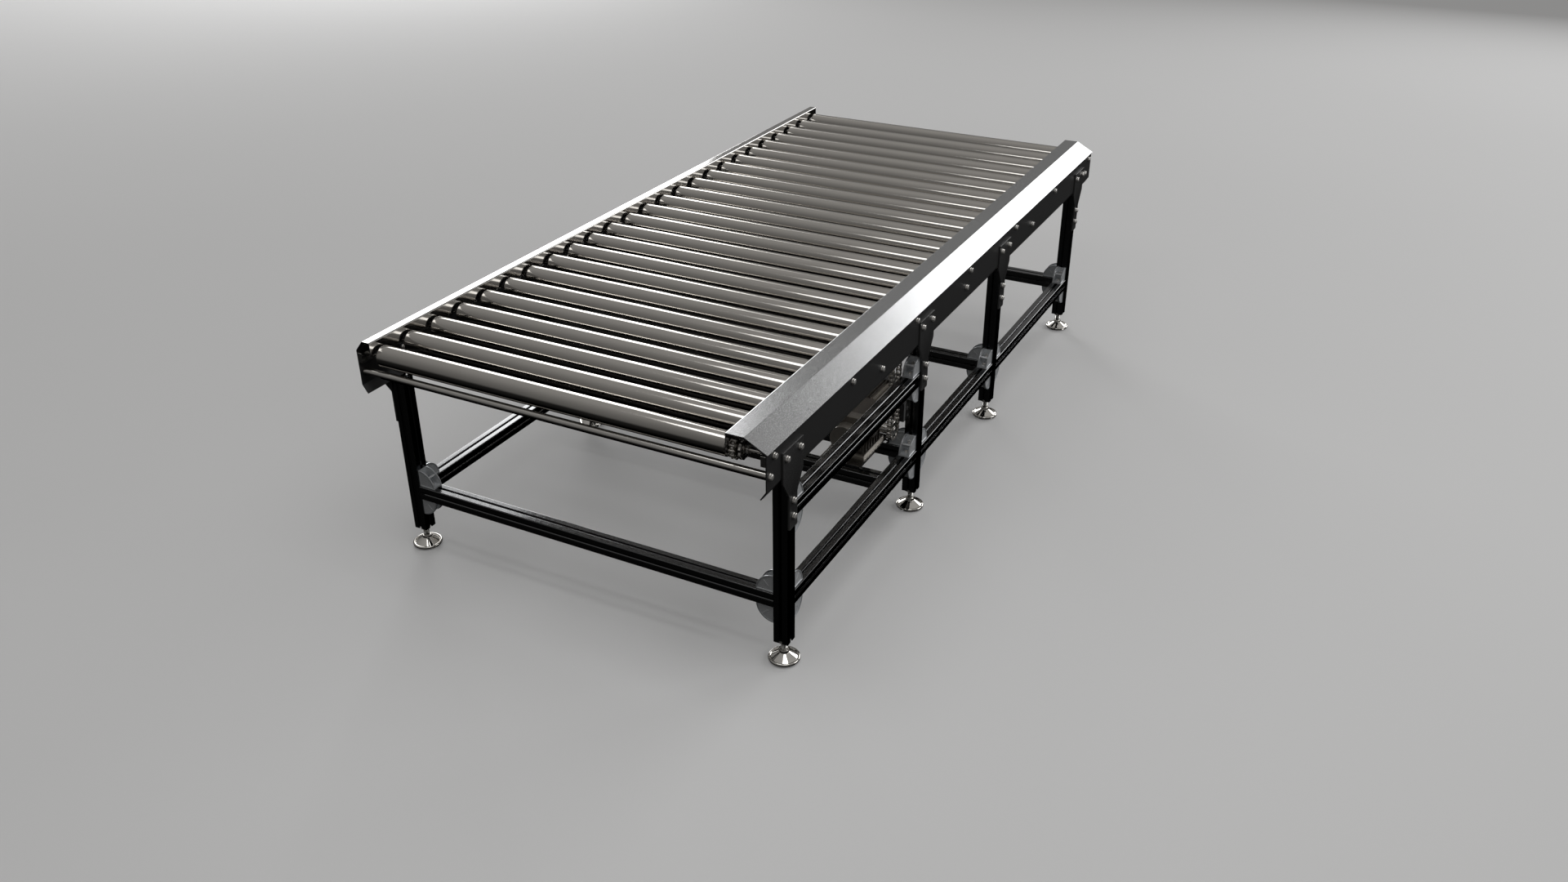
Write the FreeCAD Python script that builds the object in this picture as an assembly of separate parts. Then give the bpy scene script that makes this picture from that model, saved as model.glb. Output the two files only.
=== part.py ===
import FreeCAD, Part
import math
import os

# Chain-driven roller conveyor on a T-slot profile stand, in millimetres.
# +X runs along the bed, +Y points to the idle side, -Y is the drive side, +Z is up.
# The origin lies on the floor, under the middle of the bed.

# Rollers and chain
CHAIN_PITCH = 12.7
ROLLER_COUNT = 25
ROLLER_LINKS_APART = 8
ROLLER_PITCH = ROLLER_LINKS_APART * CHAIN_PITCH
END_MARGIN = 34.8
BED_LENGTH = (ROLLER_COUNT - 1) * ROLLER_PITCH + 2 * END_MARGIN
AXIS_Z = 620.0
ROLLER_R = 28.6
TUBE_WALL = 2.0
TUBE_Y = (-472.0, 525.0)
HOUSING_DEPTH = 22.0
HOUSING_PROUD = 2.0
COLLAR = 4.0
AXLE_R = 6.0
RUNNING_GAP = 0.05
HUB_R = 15.0
HUB_PAST_ROW = 6.0
TEETH = 12
TOOTH_HEIGHT = 2.6
MESH_GAP = 0.12
CHAIN_ROLLER_R = 4.25
CHAIN_PLATE_H = 11.8
CHAIN_GAP = 7.8
CHAIN_WIDTH = 15.6
PIN_PROUD = 0.5
SPROCKET_T = 7.0
ROW_Y = (-490.0, -508.0, -526.0)
DRIVEN_ROLLER = 8
DRIVE_LINKS_APART = 27

# Side rails, guard and the bars that carry the axles
SHEET = 3.0
GUARD_SHEET = 2.0
WEB_Y = 581.0
WEB_BOTTOM = 542.5
LIP_END = (566.0, 519.6)
IDLE_WALL = (533.6, 633.0)
IDLE_TOP = (557.9, 666.9)
IDLE_SHOULDER_Z = 639.0
GUARD_WALL = (478.7, 616.0)
GUARD_RIDGE = (526.5, 667.8)
GUARD_EDGE = (584.2, 636.9)
RAIL_FLANGE_Y = 545.0
ARCH_R = 18.0
BAR_T = 12.0
BAR_Z = (605.0, 632.0)
BOLTED_EVERY = 4

# Tie bars between the webs
TIE_R = 10.0
TIE_Z = 577.0
TIE_X = [-1239.5 + k * 606.0 for k in range(5)]

# Stand
PROFILE = 40.0
SLOT_OPENING = 8.2
SLOT_LIP = 4.0
SLOT_WIDTH = 17.0
SLOT_DEPTH = 9.0
SLOT_CORNER = 3.0
LEG_X = [-1135.5, -337.0, 304.0, 1104.5]
LEG_Y = WEB_Y - PROFILE / 2
LEG_Z = (58.4, 519.0)
LOWER_Z = 179.0
UPPER_Z = 425.0
MOTOR_CROSS_X = -526.0
PLATE_T = 5.0
BRACKET_TOP = 608.0
BRACKET_TAPER = (528.0, 478.0)
BRACKET_BOTTOM = 389.0
BRACKET_HALF = 50.0
BRACKET_WEB_BOLT = (33.0, 587.0)
BRACKET_LEG_BOLTS = (463.0, 421.0)
GUSSET_R = 48.0
GUSSET_W = 32.0
GUSSET_PAD = 5.0
GUSSET_CHEEK = 4.0
GUSSET_HOLE = 27.0

# Levelling feet
STEM_R = 8.0
STEM_SEAT = 15.0
STEM_TOP = 100.0
STEM_BORE_TOP = 125.0
STEM_CLEARANCE = 0.3
FOOT_R = 40.0
SOLE_T = 3.0
SOLE_INSET = 3.0
RIM_TOP = 11.0
RIM_WIDTH = 5.0
DISH_FLOOR = 9.0
RIM_CHAMFER = 2.0
CONE_TOP = (13.0, 23.0)
BOSS_TOP = (12.0, 30.0)
LOCK_NUT = (24.0, 8.0)

# Fasteners
M8_R = 4.0
M8_HEAD_H = 5.3
M8_FLATS = 13.0
M8_NUT_H = 6.5
M8_WASHER = (8.0, 1.6)
M8_HOLE_R = 4.3
THREAD_GAP = 0.05
TAPPED_DEPTH = 24.0
END_BOLT_REACH = 22.0
BRACKET_BOLT_REACH = 20.0
AXLE_NUT = (19.0, 7.0)
AXLE_NUT_OFF_HUB = 1.0
GUSSET_SCREW_HEAD = (6.5, 4.0)
SLOT_SCREW_REACH = SLOT_DEPTH - 1.0

# Gearmotor
SHAFT_X = -BED_LENGTH / 2 + END_MARGIN + DRIVEN_ROLLER * ROLLER_PITCH
SHAFT_Z = AXIS_Z - DRIVE_LINKS_APART * CHAIN_PITCH
SHAFT_R = 10.0
SHAFT_PAST_ROW = 8.0
SPROCKET_BOSS_LENGTH = 40.0
BASE_PLATE_X = (-522.0, -316.0)
BASE_PLATE_Y = (-480.0, -355.0)
BASE_PLATE_T = 6.0
GEARBOX_X = (SHAFT_X - 60.0, SHAFT_X + 60.0)
GEARBOX_Y = (-470.0, -361.0)
GEARBOX_TOP = 332.0
GEARBOX_WALL = 9.0
GEARBOX_FLANGE = (8.0, 10.0)
GEARBOX_CHAMFER = 12.0
CASE_INSET = 8.0
CASE_RIBS = 6
CASE_RIB_T = 5.0
CASE_RIB_INSET = 3.0
CASE_RIB_TOP = 318.0
BEARING_BOSS_R = 34.0
BEARING_BOSS_PROUD = 2.0
END_COVER_R = 40.0
END_COVER_LENGTH = 34.0
MOTOR_Y = -415.5
MOTOR_Z = 263.0
MOTOR_R = 44.0
MOTOR_WALL = 6.0
MOTOR_START = GEARBOX_X[1] + 12.0
MOTOR_LENGTH = 150.0
END_SHIELD_R = 48.0
END_SHIELD_T = 8.0
FIN_R = 52.0
FIN_COUNT = 28
FIN_T = 2.0
FIN_X = (MOTOR_START + 14.0, MOTOR_START + 140.0)
COWL_LENGTH = 52.0
COWL_SHEET = 1.5
COWL_OVERLAP = 10.0
VENT_R = 4.5
VENT_PITCH = 14.0
ROTOR_R = 9.0
ROTOR_OVERHANG = (25.0, 30.0)
CORE_R = 30.0
CORE_INSET = 25.0
FAN_BLADES = 8
FAN_LENGTH = 20.0
FAN_HUB_R = 16.0
FAN_CLEAR = 3.0
BLADE_T = 2.4
TERMINAL_BOX_X = (MOTOR_START + 60.0, MOTOR_START + 132.0)
TERMINAL_BOX_DEPTH = 34.0
TERMINAL_BOX_HALF = 30.0
TERMINAL_PAD_INSET = 3.0
GLAND_R = 9.0
GLAND_LENGTH = 14.0

V = FreeCAD.Vector
X_AXIS = V(1, 0, 0)
Y_AXIS = V(0, 1, 0)
Z_AXIS = V(0, 0, 1)
ROLLER_X = [-BED_LENGTH / 2 + END_MARGIN + i * ROLLER_PITCH for i in range(ROLLER_COUNT)]
BOLTED_X = ROLLER_X[::BOLTED_EVERY]
PITCH_R = CHAIN_PITCH / (2 * math.sin(math.pi / TEETH))
TOP_OF_LOWER = LOWER_Z + PROFILE / 2
INNER_Y = WEB_Y - SHEET


def cylinder(radius, start, direction, length):
    return Part.makeCylinder(radius, length, start, direction)


def ring(outer, inner, start, direction, length):
    return cylinder(outer, start, direction, length).cut(cylinder(inner, start, direction, length))


def block(x, y, z):
    return Part.makeBox(x[1] - x[0], y[1] - y[0], z[1] - z[0], V(x[0], y[0], z[0]))


def face_of(points):
    return Part.Face(Part.makePolygon(list(points) + [points[0]]))


def write(name, solids):
    Part.makeCompound(list(solids)).exportStep("parts/%s.step" % name)


def fuse(shapes):
    return shapes[0].multiFuse(shapes[1:]).removeSplitter()


def mirrored(shape):
    return shape.mirror(V(0, 0, 0), Y_AXIS)


def sheet_section(path, thickness):
    """Face in the YZ plane: an open path thickened to the right of its direction."""
    normals = []
    for (y0, z0), (y1, z1) in zip(path, path[1:]):
        length = math.hypot(y1 - y0, z1 - z0)
        normals.append(((z1 - z0) / length, (y0 - y1) / length))
    inner = []
    for i, (y, z) in enumerate(path):
        before = normals[max(i - 1, 0)]
        after = normals[min(i, len(normals) - 1)]
        mitre = thickness / (1 + before[0] * after[0] + before[1] * after[1])
        inner.append((y + (before[0] + after[0]) * mitre, z + (before[1] + after[1]) * mitre))
    start = -BED_LENGTH / 2
    return face_of([V(start, y, z) for y, z in path + inner[::-1]])


def hex_prism(across_flats, start, direction, length):
    radius = across_flats / math.sqrt(3)
    corners = [V(radius * math.cos(a), radius * math.sin(a), 0)
               for a in (math.radians(30 + 60 * k) for k in range(6))]
    prism = face_of(corners).extrude(V(0, 0, length))
    prism.Placement = FreeCAD.Placement(start, FreeCAD.Rotation(Z_AXIS, direction))
    return prism


def m8_bolt(seat, outward, reach):
    """Hex bolt with its washer on the seat point; the shank runs inwards by reach."""
    washer_r, washer_t = M8_WASHER
    bearing = seat + outward * washer_t
    bolt = fuse([hex_prism(M8_FLATS, bearing, outward, M8_HEAD_H),
                 cylinder(M8_R - THREAD_GAP, bearing, outward * -1, reach + washer_t)])
    return [bolt, ring(washer_r, M8_R, seat, outward, washer_t)]


def drill(shape, points, radius, direction, depth):
    return shape.cut(Part.makeCompound([cylinder(radius, p, direction, depth) for p in points]))


# ---------------------------------------------------------------- chain and sprockets

def sprocket(centre):
    """Toothed disc in the XZ plane, with a tooth gap straight up.

    Each gap seats one chain roller. The two cuts beside it clear the rollers of a chain
    that leaves the sprocket in a straight line there.
    """
    start = centre - Y_AXIS * (SPROCKET_T / 2)
    cut_r = CHAIN_ROLLER_R + MESH_GAP
    cuts = []
    for k in range(TEETH):
        angle = 2 * math.pi * k / TEETH
        seat = start + V(math.cos(angle), 0, math.sin(angle)) * PITCH_R
        tangent = V(-math.sin(angle), 0, math.cos(angle)) * CHAIN_PITCH
        cuts += [cylinder(cut_r, seat + tangent * side, Y_AXIS, SPROCKET_T) for side in (-1, 0, 1)]
    disc = cylinder(PITCH_R + TOOTH_HEIGHT, start, Y_AXIS, SPROCKET_T)
    return disc.cut(Part.makeCompound(cuts))


def racetrack(a, b, radius, y, depth):
    """Slab whose outline is two half circles about a and b, joined by straight sides."""
    along = b - a
    side = V(along.z, 0, -along.x).normalize() * radius
    lift = V(0, y, 0)
    body = face_of([a + side + lift, b + side + lift, b - side + lift, a - side + lift])
    return fuse([body.extrude(V(0, depth, 0)), cylinder(radius, a + lift, Y_AXIS, depth),
                 cylinder(radius, b + lift, Y_AXIS, depth)])


def chain_loop(a, b, links_apart):
    """Closed roller chain about two equal sprockets centred on a and b, in the plane y = 0."""
    along = (b - a).normalize()
    side = V(along.z, 0, -along.x)
    pins = []
    for k in range(links_apart + 1):
        pins.append(a + along * (k * CHAIN_PITCH) + side * PITCH_R)
        pins.append(a + along * (k * CHAIN_PITCH) - side * PITCH_R)
    for k in range(1, TEETH // 2):
        turn = math.pi * k / (TEETH // 2)
        pins.append(a + side * (PITCH_R * math.cos(turn)) - along * (PITCH_R * math.sin(turn)))
        pins.append(b + side * (PITCH_R * math.cos(turn)) + along * (PITCH_R * math.sin(turn)))
    pieces = [cylinder(CHAIN_ROLLER_R, p - Y_AXIS * (CHAIN_WIDTH / 2), Y_AXIS, CHAIN_WIDTH) for p in pins]
    plate_t = (CHAIN_WIDTH - CHAIN_GAP) / 2 - PIN_PROUD
    for y in (-CHAIN_GAP / 2 - plate_t, CHAIN_GAP / 2):
        outer = racetrack(a, b, PITCH_R + CHAIN_PLATE_H / 2, y, plate_t)
        pieces.append(outer.cut(racetrack(a, b, PITCH_R - CHAIN_PLATE_H / 2, y, plate_t)))
    return fuse(pieces)


def write_chains():
    first = chain_loop(V(ROLLER_X[0], 0, AXIS_Z), V(ROLLER_X[1], 0, AXIS_Z), ROLLER_LINKS_APART)
    loops = []
    for i in range(ROLLER_COUNT - 1):
        loops.append(first.translated(V(i * ROLLER_PITCH, ROW_Y[i % 2], 0)))
    write("roller_chains", loops)
    drive = chain_loop(V(SHAFT_X, 0, SHAFT_Z), V(SHAFT_X, 0, AXIS_Z), DRIVE_LINKS_APART)
    write("drive_chain", [drive.translated(V(0, ROW_Y[2], 0))])


# ---------------------------------------------------------------- rollers and axles

def sprocket_rows(index):
    return ROW_Y if index == DRIVEN_ROLLER else ROW_Y[:2]


def roller(index):
    """Tube, idle-side bearing housing and drive-side sprocket hub, as three solids."""
    inside = ROLLER_R - TUBE_WALL
    low, high = TUBE_Y
    tube = ring(ROLLER_R, inside, V(0, low, 0), Y_AXIS, high - low)
    length = HOUSING_DEPTH + HOUSING_PROUD
    idle = fuse([cylinder(inside, V(0, high - HOUSING_DEPTH, 0), Y_AXIS, length),
                 cylinder(HUB_R, V(0, high + HOUSING_PROUD, 0), Y_AXIS, COLLAR)])
    rows = sprocket_rows(index)
    hub_end = rows[-1] - HUB_PAST_ROW
    hub = [cylinder(inside, V(0, low - HOUSING_PROUD, 0), Y_AXIS, length),
           cylinder(HUB_R, V(0, hub_end, 0), Y_AXIS, low - hub_end)]
    drive = fuse(hub + [sprocket(V(0, y, 0)) for y in rows])
    bore = cylinder(AXLE_R + RUNNING_GAP, V(0, -WEB_Y, 0), Y_AXIS, 2 * WEB_Y)
    solids = (tube, idle.cut(bore), drive.cut(bore))
    return [s.translated(V(ROLLER_X[index], 0, AXIS_Z)) for s in solids]


def write_rollers():
    for index in range(ROLLER_COUNT):
        write("roller_%02d" % (index + 1), roller(index))


def cross_bar(radius, x, z, tapped):
    """Round bar from web to web, with a tapped hole in each end where it is bolted."""
    bar = cylinder(radius, V(x, -INNER_Y, z), Y_AXIS, 2 * INNER_Y)
    if not tapped:
        return bar
    ends = [cylinder(M8_R, V(x, s * INNER_Y, z), Y_AXIS * -s, TAPPED_DEPTH) for s in (-1, 1)]
    return bar.cut(Part.makeCompound(ends))


def end_bolts(x, z):
    bolts = []
    for s in (-1, 1):
        bolts += m8_bolt(V(x, s * WEB_Y, z), V(0, s, 0), END_BOLT_REACH)
    return bolts


def axle_nut(index):
    flats, height = AXLE_NUT
    start = V(ROLLER_X[index], sprocket_rows(index)[-1] - HUB_PAST_ROW - AXLE_NUT_OFF_HUB, AXIS_Z)
    return hex_prism(flats, start, Y_AXIS * -1, height).cut(cylinder(AXLE_R, start, Y_AXIS * -1, height))


def write_axles():
    write("roller_axles", [cross_bar(AXLE_R, x, AXIS_Z, x in BOLTED_X) for x in ROLLER_X])
    write("axle_nuts", [axle_nut(index) for index in range(ROLLER_COUNT)])
    bolts = []
    for x in BOLTED_X:
        bolts += end_bolts(x, AXIS_Z)
    write("axle_bolts", bolts)


def write_axle_bars():
    bar = block((-BED_LENGTH / 2, BED_LENGTH / 2), (INNER_Y - BAR_T, INNER_Y), BAR_Z)
    bar = drill(bar, [V(x, INNER_Y - BAR_T, AXIS_Z) for x in ROLLER_X], AXLE_R, Y_AXIS, BAR_T)
    write("axle_bars", [bar, mirrored(bar)])


# ---------------------------------------------------------------- rails, guard, tie bars

def web_holes():
    points = [V(x, 0, AXIS_Z) for x in BOLTED_X]
    points += [V(x, 0, TIE_Z) for x in TIE_X]
    points += [V(x + s * BRACKET_WEB_BOLT[0], 0, BRACKET_WEB_BOLT[1]) for x in LEG_X for s in (-1, 1)]
    return points


def write_rails():
    length = V(BED_LENGTH, 0, 0)
    idle_path = [IDLE_WALL, (IDLE_WALL[0], IDLE_TOP[1]), IDLE_TOP, (WEB_Y, IDLE_SHOULDER_Z),
                 (WEB_Y, WEB_BOTTOM), LIP_END]
    idle = sheet_section(idle_path, SHEET).extrude(length)
    holes = [p + V(0, WEB_Y - 2 * SHEET, 0) for p in web_holes()]
    write("idle_side_rail", [drill(idle, holes, M8_HOLE_R, Y_AXIS, 3 * SHEET)])

    guard_path = [GUARD_EDGE, GUARD_RIDGE, (GUARD_WALL[0], GUARD_RIDGE[1]), GUARD_WALL]
    guard_path = [(-y, z) for y, z in guard_path]
    guard = sheet_section(guard_path, GUARD_SHEET).extrude(length)
    arches = [V(x, -GUARD_WALL[0] - GUARD_SHEET, AXIS_Z) for x in ROLLER_X]
    write("chain_guard", [drill(guard, arches, ARCH_R, Y_AXIS, 2 * GUARD_SHEET)])

    slope = (GUARD_RIDGE[1] - GUARD_EDGE[1]) / (GUARD_EDGE[0] - GUARD_RIDGE[0])
    drop = GUARD_SHEET * math.hypot(1, slope)
    crest = GUARD_EDGE[1] + (GUARD_EDGE[0] - WEB_Y) * slope - drop
    flange = (-RAIL_FLANGE_Y, crest + (WEB_Y - RAIL_FLANGE_Y) * slope)
    drive_path = [(-LIP_END[0], LIP_END[1]), (-WEB_Y, WEB_BOTTOM), (-WEB_Y, crest), flange]
    rail = sheet_section(drive_path, SHEET).extrude(length)
    holes = [p - V(0, WEB_Y + SHEET, 0) for p in web_holes()]
    write("drive_side_rail", [drill(rail, holes, M8_HOLE_R, Y_AXIS, 3 * SHEET)])


def write_tie_bars():
    write("tie_bars", [cross_bar(TIE_R, x, TIE_Z, True) for x in TIE_X])
    bolts = []
    for x in TIE_X:
        bolts += end_bolts(x, TIE_Z)
    write("tie_bar_bolts", bolts)


# ---------------------------------------------------------------- T-slot stand

def profile_face():
    """Square T-slot section about the origin in the XY plane."""
    half = PROFILE / 2
    square = face_of([V(-half, -half, 0), V(half, -half, 0), V(half, half, 0), V(-half, half, 0)])
    open_half = SLOT_OPENING / 2
    lip = half - SLOT_LIP
    floor = half - SLOT_DEPTH
    wide = SLOT_WIDTH / 2
    slot = face_of([V(-open_half, half, 0), V(-open_half, lip, 0), V(-wide, lip, 0),
                    V(-wide, floor + SLOT_CORNER, 0), V(-wide + SLOT_CORNER, floor, 0),
                    V(wide - SLOT_CORNER, floor, 0), V(wide, floor + SLOT_CORNER, 0),
                    V(wide, lip, 0), V(open_half, lip, 0),
                    V(open_half, half, 0)])
    slots = [slot.rotated(V(0, 0, 0), Z_AXIS, 90 * k) for k in range(4)]
    return square.cut(Part.makeCompound(slots)).Faces[0]


def profile_bar(start, direction, length):
    bar = profile_face().extrude(V(0, 0, length))
    bar.Placement = FreeCAD.Placement(start, FreeCAD.Rotation(Z_AXIS, direction))
    return bar


def write_profiles():
    inner = LEG_Y - PROFILE / 2
    legs = []
    cross = [profile_bar(V(MOTOR_CROSS_X, -inner, LOWER_Z), Y_AXIS, 2 * inner)]
    for x in LEG_X:
        for s in (-1, 1):
            leg = profile_bar(V(x, s * LEG_Y, LEG_Z[0]), Z_AXIS, LEG_Z[1] - LEG_Z[0])
            stem_bore = cylinder(STEM_R + STEM_CLEARANCE, V(x, s * LEG_Y, 0), Z_AXIS, STEM_BORE_TOP)
            legs.append(leg.cut(stem_bore))
        cross.append(profile_bar(V(x, -inner, LOWER_Z), Y_AXIS, 2 * inner))
    write("legs", legs)
    write("cross_profiles", cross)
    stringers = []
    for x0, x1 in zip(LEG_X, LEG_X[1:]):
        for s in (-1, 1):
            start = V(x0 + PROFILE / 2, s * LEG_Y, LOWER_Z)
            stringers.append(profile_bar(start, X_AXIS, x1 - x0 - PROFILE))
    write("lower_stringers", stringers)
    start = V(LEG_X[0] + PROFILE / 2, -LEG_Y, UPPER_Z)
    write("upper_stringer", [profile_bar(start, X_AXIS, LEG_X[1] - LEG_X[0] - PROFILE)])


def bracket(x):
    """Tapered plate, on the idle side, that ties a leg to the rail web."""
    half = BRACKET_HALF
    leg_half = PROFILE / 2
    wide, narrow = BRACKET_TAPER
    outline = [(-half, BRACKET_TOP), (half, BRACKET_TOP), (half, wide), (leg_half, narrow),
               (leg_half, BRACKET_BOTTOM), (-leg_half, BRACKET_BOTTOM), (-leg_half, narrow),
               (-half, wide)]
    plate = face_of([V(x + dx, WEB_Y, z) for dx, z in outline]).extrude(V(0, PLATE_T, 0))
    dx, web_z = BRACKET_WEB_BOLT
    holes = [V(x - dx, WEB_Y, web_z), V(x + dx, WEB_Y, web_z)]
    holes += [V(x, WEB_Y, z) for z in BRACKET_LEG_BOLTS]
    return drill(plate, holes, M8_HOLE_R, Y_AXIS, PLATE_T)


def bracket_bolts(x, side):
    """Two bolts with nuts through the web, and two bolts into the leg's slot."""
    out = V(0, side, 0)
    seat_y = side * (WEB_Y + PLATE_T)
    dx, web_z = BRACKET_WEB_BOLT
    solids = []
    for at in (x - dx, x + dx):
        solids += m8_bolt(V(at, seat_y, web_z), out, BRACKET_BOLT_REACH)
        nut_seat = V(at, side * INNER_Y, web_z)
        nut = hex_prism(M8_FLATS, nut_seat, out * -1, M8_NUT_H)
        solids.append(nut.cut(cylinder(M8_R, nut_seat, out * -1, M8_NUT_H)))
    for z in BRACKET_LEG_BOLTS:
        solids += m8_bolt(V(x, seat_y, z), out, PLATE_T + SLOT_SCREW_REACH)
    return solids


def write_brackets():
    plates = [bracket(x) for x in LEG_X]
    write("leg_brackets", plates + [mirrored(p) for p in plates])
    bolts = []
    for x in LEG_X:
        bolts += bracket_bolts(x, -1) + bracket_bolts(x, 1)
    write("bracket_bolts", bolts)


# ---------------------------------------------------------------- gussets

def gusset(corner, u, v):
    """Quarter-round cast corner with its arms along u and v, and the screws in its pads."""
    across = u.cross(v)
    mid = corner + (u + v) * (GUSSET_R * math.sqrt(0.5))
    edges = [Part.LineSegment(corner, corner + u * GUSSET_R).toShape(),
             Part.Arc(corner + u * GUSSET_R, mid, corner + v * GUSSET_R).toShape(),
             Part.LineSegment(corner + v * GUSSET_R, corner).toShape()]
    body = Part.Face(Part.Wire(edges)).extrude(across * GUSSET_W)
    inner = corner + (u + v) * GUSSET_PAD + across * GUSSET_CHEEK
    pocket = face_of([inner, inner + u * GUSSET_R, inner + (u + v) * GUSSET_R, inner + v * GUSSET_R])
    body = body.cut(pocket.extrude(across * (GUSSET_W - 2 * GUSSET_CHEEK)))
    body.translate(across * (-GUSSET_W / 2))
    head_r, head_h = GUSSET_SCREW_HEAD
    screws = []
    for arm, up in ((u, v), (v, u)):
        foot = corner + arm * GUSSET_HOLE
        seat = foot + up * GUSSET_PAD
        body = body.cut(cylinder(M8_HOLE_R, foot, up, GUSSET_PAD))
        shank = cylinder(M8_R - THREAD_GAP, seat, up * -1, GUSSET_PAD + SLOT_SCREW_REACH)
        screws.append(fuse([cylinder(head_r, seat, up, head_h), shank]))
    return body, screws


def gusset_places():
    """Corner point and arm directions of every gusset."""
    inner = LEG_Y - PROFILE / 2
    half = PROFILE / 2
    places = []
    for index, x in enumerate(LEG_X):
        for s in (-1, 1):
            for dz in (-1, 1):
                up = V(0, 0, dz)
                places.append((V(x, s * inner, LOWER_Z + dz * half), V(0, -s, 0), up))
                for dx in (-1, 1):
                    if 0 <= index + dx < len(LEG_X):
                        at = V(x + dx * half, s * LEG_Y, LOWER_Z + dz * half)
                        places.append((at, V(dx, 0, 0), up))
    for x, dx in ((LEG_X[0], 1), (LEG_X[1], -1)):
        for dz in (-1, 1):
            at = V(x + dx * half, -LEG_Y, UPPER_Z + dz * half)
            places.append((at, V(dx, 0, 0), V(0, 0, dz)))
    return places


def write_gussets():
    bodies = []
    screws = []
    for place in gusset_places():
        body, pair = gusset(*place)
        bodies.append(body)
        screws += pair
    write("corner_gussets", bodies)
    write("gusset_screws", screws)


# ---------------------------------------------------------------- levelling feet

def levelling_foot(x, y):
    """Rubber sole, dished base and threaded stem."""
    sole = cylinder(FOOT_R - SOLE_INSET, V(x, y, 0), Z_AXIS, SOLE_T)
    outline = [(0, SOLE_T), (FOOT_R, SOLE_T), (FOOT_R, RIM_TOP - RIM_CHAMFER),
               (FOOT_R - RIM_CHAMFER, RIM_TOP), (FOOT_R - RIM_WIDTH, RIM_TOP),
               (FOOT_R - RIM_WIDTH - RIM_CHAMFER, DISH_FLOOR), CONE_TOP, BOSS_TOP, (0, BOSS_TOP[1])]
    base = face_of([V(r, 0, z) for r, z in outline]).revolve(V(0, 0, 0), Z_AXIS, 360)
    base = base.cut(cylinder(STEM_R, V(0, 0, STEM_SEAT), Z_AXIS, BOSS_TOP[1])).translated(V(x, y, 0))
    stem = cylinder(STEM_R, V(x, y, STEM_SEAT), Z_AXIS, STEM_TOP - STEM_SEAT)
    return [sole, base, stem]


def lock_nut(x, y):
    flats, height = LOCK_NUT
    seat = V(x, y, LEG_Z[0])
    nut = hex_prism(flats, seat, Z_AXIS * -1, height)
    return nut.cut(cylinder(STEM_R + RUNNING_GAP, seat, Z_AXIS * -1, height))


def write_feet():
    for s, side in ((-1, "drive"), (1, "idle")):
        for number, x in enumerate(LEG_X, 1):
            write("levelling_foot_%s_%d" % (side, number), levelling_foot(x, s * LEG_Y))
    write("foot_lock_nuts", [lock_nut(x, s * LEG_Y) for x in LEG_X for s in (-1, 1)])


# ---------------------------------------------------------------- gearmotor

def motor_cylinder(radius, x, length):
    """Cylinder on the motor's axis."""
    return cylinder(radius, V(x, MOTOR_Y, MOTOR_Z), X_AXIS, length)


def around_motor(blade, count):
    """Copies of a radial blade, modelled at the origin, spread round the motor's axis."""
    turned = [blade.rotated(V(0, 0, 0), X_AXIS, 360 * k / count) for k in range(count)]
    return [b.translated(V(0, MOTOR_Y, MOTOR_Z)) for b in turned]


def write_base_plate():
    z = (TOP_OF_LOWER, TOP_OF_LOWER + BASE_PLATE_T)
    write("motor_base_plate", [block(BASE_PLATE_X, BASE_PLATE_Y, z)])


def write_gearbox():
    """Ribbed case on a foot flange, hollow inside, with the round cover on its free end."""
    base_z = TOP_OF_LOWER + BASE_PLATE_T
    x0, x1 = GEARBOX_X
    y0, y1 = GEARBOX_Y
    overhang, flange_t = GEARBOX_FLANGE
    flange = block((x0 - overhang, x1 + overhang), (y0, y1), (base_z, base_z + flange_t))
    case = block((x0, x1), (y0 + CASE_INSET, y1 - CASE_INSET), (base_z, GEARBOX_TOP))
    top_edges = [e for e in case.Edges if e.BoundBox.ZMin > base_z + 1 and e.BoundBox.YLength > 1]
    case = case.makeChamfer(GEARBOX_CHAMFER, top_edges)
    step = (x1 - x0 - 2 * GEARBOX_CHAMFER - CASE_RIB_T) / (CASE_RIBS - 1)
    ribs = []
    for k in range(CASE_RIBS):
        x = x0 + GEARBOX_CHAMFER + k * step
        ribs.append(block((x, x + CASE_RIB_T), (y0 + CASE_RIB_INSET, y1 - CASE_RIB_INSET),
                          (base_z, CASE_RIB_TOP)))
    length = y1 - y0 + BEARING_BOSS_PROUD
    boss = cylinder(BEARING_BOSS_R, V(SHAFT_X, y0 - BEARING_BOSS_PROUD, SHAFT_Z), Y_AXIS, length)
    neck = motor_cylinder(MOTOR_R, x1 - GEARBOX_WALL, MOTOR_START - x1 + GEARBOX_WALL)
    housing = fuse([flange, case, boss, neck] + ribs)
    inset = CASE_INSET + GEARBOX_WALL
    hollow = block((x0 + GEARBOX_WALL, x1 - GEARBOX_WALL), (y0 + inset, y1 - inset),
                   (base_z + GEARBOX_WALL, GEARBOX_TOP - GEARBOX_CHAMFER))
    shaft_bore = cylinder(SHAFT_R + RUNNING_GAP, V(SHAFT_X, -WEB_Y, SHAFT_Z), Y_AXIS, WEB_Y)
    rotor_bore = motor_cylinder(ROTOR_R + RUNNING_GAP, SHAFT_X, MOTOR_START - SHAFT_X)
    housing = housing.cut(hollow).cut(shaft_bore).cut(rotor_bore)
    cover = motor_cylinder(END_COVER_R, x0 - END_COVER_LENGTH, END_COVER_LENGTH)
    write("gearbox_housing", [housing, cover])


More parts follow.
